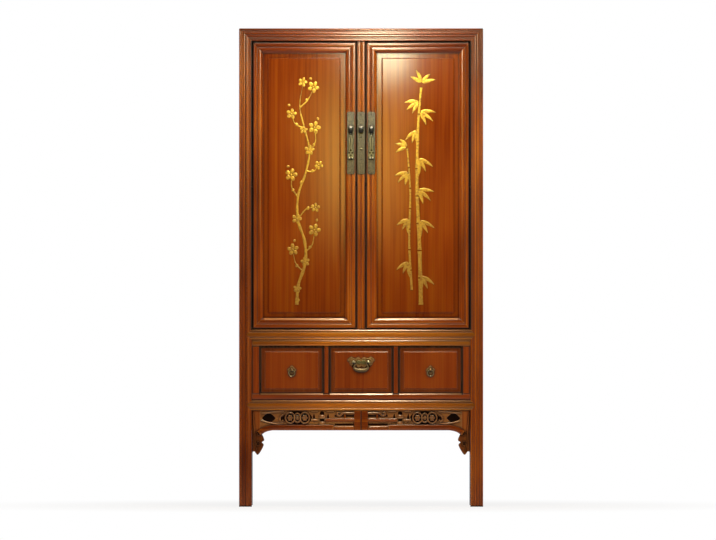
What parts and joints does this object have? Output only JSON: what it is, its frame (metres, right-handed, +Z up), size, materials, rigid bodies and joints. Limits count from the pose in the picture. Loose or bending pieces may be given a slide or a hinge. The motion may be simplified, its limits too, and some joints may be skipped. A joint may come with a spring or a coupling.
{
  "type": "chinese wedding cabinet",
  "caption": "Tall lacquered hardwood cabinet with panelled pivot doors, a lift-out centre post, a row of drawers, carved apron and aged brass lock plates and pulls.",
  "frame": {"origin": "centre of the footprint on the floor, between the four feet and the front of the lock eyes", "axes": "+X to the right seen from the front, +Y from the front to the back, +Z up"},
  "size_m": [1, 0.522, 1.96],
  "materials": {
    "red_brown_lacquer": "glossy red-brown lacquer over hardwood, rubbed lighter on the edges and darker in the grooves",
    "amber_lacquer": "glossy transparent amber lacquer over plain hardwood boards",
    "bare_wood": "planed softwood, unfinished",
    "aged_brass": "antiqued brass with a greenish grey patina"
  },
  "bodies": {
    "carcass": {"post_front_left": "red_brown_lacquer", "post_front_right": "red_brown_lacquer", "post_back_left": "red_brown_lacquer", "post_back_right": "red_brown_lacquer", "top_rail_front": "red_brown_lacquer", "top_rail_back": "red_brown_lacquer", "top_rail_left": "red_brown_lacquer", "top_rail_right": "red_brown_lacquer", "top_panel": "red_brown_lacquer", "middle_rail_front": "red_brown_lacquer", "lower_rail_front": "red_brown_lacquer", "middle_rail_left": "red_brown_lacquer", "middle_rail_right": "red_brown_lacquer", "lower_rail_left": "red_brown_lacquer", "lower_rail_right": "red_brown_lacquer", "middle_rail_back": "red_brown_lacquer", "lower_rail_back": "red_brown_lacquer", "side_panel_left": "red_brown_lacquer", "side_panel_right": "red_brown_lacquer", "back_panel": "bare_wood", "shelf": "bare_wood", "compartment_floor": "bare_wood", "drawer_floor": "bare_wood", "drawer_frame_top": "red_brown_lacquer", "drawer_frame_bottom": "red_brown_lacquer", "drawer_frame_left": "red_brown_lacquer", "drawer_frame_right": "red_brown_lacquer", "drawer_divider_left": "red_brown_lacquer", "drawer_divider_right": "red_brown_lacquer", "apron_front": "red_brown_lacquer", "spandrel_left": "red_brown_lacquer", "spandrel_right": "red_brown_lacquer"},
    "mullion": {"mullion": "red_brown_lacquer", "lock_plate_centre": "aged_brass"},
    "door_left": {"door_left_hinge_stile": "red_brown_lacquer", "door_left_lock_stile": "red_brown_lacquer", "door_left_top_rail": "red_brown_lacquer", "door_left_bottom_rail": "red_brown_lacquer", "door_left_panel": "amber_lacquer", "lock_plate_left": "aged_brass"},
    "door_right": {"door_right_hinge_stile": "red_brown_lacquer", "door_right_lock_stile": "red_brown_lacquer", "door_right_top_rail": "red_brown_lacquer", "door_right_bottom_rail": "red_brown_lacquer", "door_right_panel": "amber_lacquer", "lock_plate_right": "aged_brass"},
    "pendant_left": {"pendant_left": "aged_brass"},
    "pendant_right": {"pendant_right": "aged_brass"},
    "drawer_left": {"drawer_left_front": "amber_lacquer", "drawer_left_box": "bare_wood", "ring_plate_left": "aged_brass"},
    "drawer_middle": {"drawer_middle_front": "amber_lacquer", "drawer_middle_box": "bare_wood", "bail_plate": "aged_brass"},
    "drawer_right": {"drawer_right_front": "amber_lacquer", "drawer_right_box": "bare_wood", "ring_plate_right": "aged_brass"},
    "ring_left": {"ring_left": "aged_brass"},
    "ring_right": {"ring_right": "aged_brass"},
    "bail": {"bail": "aged_brass"}
  },
  "joints": [
    {"name": "door_left_hinge", "type": "hinge", "parent": "carcass", "child": "door_left", "pos_m": [-0.433, -0.222, 0.7296], "axis": [0, 0, -1], "range_deg": [0, 90]},
    {"name": "door_right_hinge", "type": "hinge", "parent": "carcass", "child": "door_right", "pos_m": [0.433, -0.222, 0.7296], "axis": [0, 0, 1], "range_deg": [0, 90]},
    {"name": "mullion_lift", "type": "slide", "parent": "carcass", "child": "mullion", "axis": [0, 0, 1], "range_m": [0, 0.01]},
    {"name": "drawer_left_slide", "type": "slide", "parent": "carcass", "child": "drawer_left", "axis": [0, -1, 0], "range_m": [0, 0.3]},
    {"name": "drawer_middle_slide", "type": "slide", "parent": "carcass", "child": "drawer_middle", "axis": [0, -1, 0], "range_m": [0, 0.3]},
    {"name": "drawer_right_slide", "type": "slide", "parent": "carcass", "child": "drawer_right", "axis": [0, -1, 0], "range_m": [0, 0.3]},
    {"name": "pendant_left_swing", "type": "hinge", "parent": "door_left", "child": "pendant_left", "pos_m": [-0.0425, -0.2433, 1.527], "axis": [-1, 0, 0], "range_deg": [0, 80]},
    {"name": "pendant_right_swing", "type": "hinge", "parent": "door_right", "child": "pendant_right", "pos_m": [0.0425, -0.2433, 1.527], "axis": [-1, 0, 0], "range_deg": [0, 80]},
    {"name": "ring_left_swing", "type": "hinge", "parent": "drawer_left", "child": "ring_left", "pos_m": [-0.28413, -0.239, 0.55986], "axis": [-1, 0, 0], "range_deg": [0, 90]},
    {"name": "ring_right_swing", "type": "hinge", "parent": "drawer_right", "child": "ring_right", "pos_m": [0.28413, -0.239, 0.55986], "axis": [-1, 0, 0], "range_deg": [0, 90]},
    {"name": "bail_swing", "type": "hinge", "parent": "drawer_middle", "child": "bail", "pos_m": [0, -0.2418, 0.591], "axis": [-1, 0, 0], "range_deg": [0, 90]}
  ]
}
